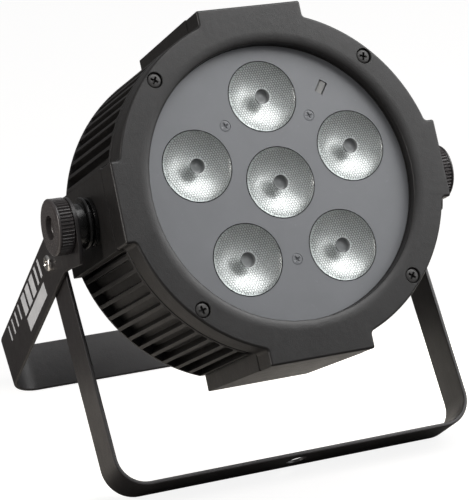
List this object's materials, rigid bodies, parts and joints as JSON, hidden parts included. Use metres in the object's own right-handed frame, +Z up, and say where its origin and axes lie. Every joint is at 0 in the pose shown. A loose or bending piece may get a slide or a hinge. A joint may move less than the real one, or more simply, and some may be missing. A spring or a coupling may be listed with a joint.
{
  "type": "stage par light",
  "caption": "Round LED stage light with beaded lenses in a ribbed cast housing, tilting on clamp knobs in a folding two-bracket stand.",
  "frame": {"origin": "centre of the bounding box in plan, on the floor", "axes": "+Z up, the lenses face -Y and upwards, +X towards the right knob as seen from in front of the light"},
  "size_m": [0.2198, 0.2038, 0.2298],
  "materials": {
    "powder_black": "satin powder coat with a fine grain",
    "cast_black": "satin black powder coat on cast and sheet aluminium",
    "print_white": "matt print",
    "steel_bright": "bright nickel",
    "screw_black": "black oxide",
    "rubber_black": "matt",
    "panel_grey": "satin grey",
    "window_clear": "clear",
    "lens_clear": "beaded clear acrylic",
    "plastic_black": "moulded",
    "switch_metal": "plain",
    "led_white": "white",
    "board_green": "solder mask",
    "copper": "wound",
    "brass": "turned",
    "knob_black": "satin moulded"
  },
  "bodies": {
    "stand": {"rear_bracket": "powder_black", "bracket_graphic": "print_white", "hinge_screws": "steel_bright", "hinge_nuts": "steel_bright"},
    "front_leg": {"front_bracket": "powder_black"},
    "head": {"bezel": "cast_black", "bezel_screws": "screw_black", "bezel_gasket": "rubber_black", "front_panel": "panel_grey", "panel_screws": "panel_grey", "panel_posts": "steel_bright", "receiver_window": "window_clear", "receiver_module": "plastic_black", "lenses": "lens_clear", "lens_holders": "plastic_black", "led_emitters": "led_white", "led_board": "led_white", "led_board_screws": "steel_bright", "housing": "cast_black", "back_plate": "cast_black", "back_plate_screws": "screw_black", "power_inlet": "plastic_black", "inlet_pins": "steel_bright", "power_outlet": "plastic_black", "socket_screws": "screw_black", "fuse_holder": "plastic_black", "data_in": "plastic_black", "data_in_pins": "steel_bright", "data_out": "plastic_black", "usb_socket": "steel_bright", "display_window": "window_clear", "display_module": "plastic_black", "control_board": "board_green", "control_switches": "switch_metal", "control_standoffs": "steel_bright", "psu_board": "board_green", "psu_transformer": "copper", "psu_capacitors": "plastic_black", "psu_heatsink": "switch_metal", "driver_board": "board_green", "driver_parts": "plastic_black", "board_standoffs": "steel_bright", "safety_eye": "steel_bright", "eye_screws": "screw_black", "spacers": "knob_black", "inserts": "brass"},
    "left_stud": {"stud_left": "steel_bright"},
    "left_knob": {"knob_left": "knob_black"},
    "right_stud": {"stud_right": "steel_bright"},
    "right_knob": {"knob_right": "knob_black"},
    "menu_button": {"button_menu": "plastic_black"},
    "up_button": {"button_up": "plastic_black"},
    "down_button": {"button_down": "plastic_black"},
    "enter_button": {"button_enter": "plastic_black"},
    "fuse_screw_cap": {"fuse_cap": "plastic_black"},
    "data_latch": {"latch_tab": "steel_bright"}
  },
  "joints": [
    {"name": "head_tilt", "type": "hinge", "parent": "stand", "child": "head", "pos_m": [0, -0.02074, 0.13132], "axis": [1, 0, 0], "continuous": true},
    {"name": "front_leg_fold", "type": "hinge", "parent": "stand", "child": "front_leg", "pos_m": [0, 0.00503, 0.10339], "axis": [1, 0, 0], "range_deg": [-30, 82]},
    {"name": "left_stud_travel", "type": "slide", "parent": "head", "child": "left_stud", "axis": [-1, 0, 0], "range_m": [0, 0.00251]},
    {"name": "left_knob_turn", "type": "hinge", "parent": "left_stud", "child": "left_knob", "pos_m": [0, -0.02074, 0.13132], "axis": [-1, 0, 0], "range_deg": [0, 720]},
    {"name": "right_stud_travel", "type": "slide", "parent": "head", "child": "right_stud", "axis": [1, 0, 0], "range_m": [0, 0.00251]},
    {"name": "right_knob_turn", "type": "hinge", "parent": "right_stud", "child": "right_knob", "pos_m": [0, -0.02074, 0.13132], "axis": [1, 0, 0], "range_deg": [0, 720]},
    {"name": "menu_press", "type": "slide", "parent": "head", "child": "menu_button", "axis": [0, -0.8686, 0.4955], "range_m": [0, 0.0005], "stiffness_N_per_m": 1500, "springref_m": -0.0004},
    {"name": "up_press", "type": "slide", "parent": "head", "child": "up_button", "axis": [0, -0.8686, 0.4955], "range_m": [0, 0.0005], "stiffness_N_per_m": 1500, "springref_m": -0.0004},
    {"name": "down_press", "type": "slide", "parent": "head", "child": "down_button", "axis": [0, -0.8686, 0.4955], "range_m": [0, 0.0005], "stiffness_N_per_m": 1500, "springref_m": -0.0004},
    {"name": "enter_press", "type": "slide", "parent": "head", "child": "enter_button", "axis": [0, -0.8686, 0.4955], "range_m": [0, 0.0005], "stiffness_N_per_m": 1500, "springref_m": -0.0004},
    {"name": "fuse_cap_turn", "type": "hinge", "parent": "head", "child": "fuse_screw_cap", "pos_m": [0, -0.0192, 0.06137], "axis": [0, 0.8686, -0.4955], "range_deg": [0, 60]},
    {"name": "latch_press", "type": "slide", "parent": "head", "child": "data_latch", "axis": [0, -0.8686, 0.4955], "range_m": [0, 0.0015], "stiffness_N_per_m": 800, "springref_m": -0.0008}
  ],
  "couplings": [
    {"joint": "left_stud_travel", "follows": "left_knob_turn", "m_per_rad": 0.00019894},
    {"joint": "right_stud_travel", "follows": "right_knob_turn", "m_per_rad": 0.00019894}
  ]
}
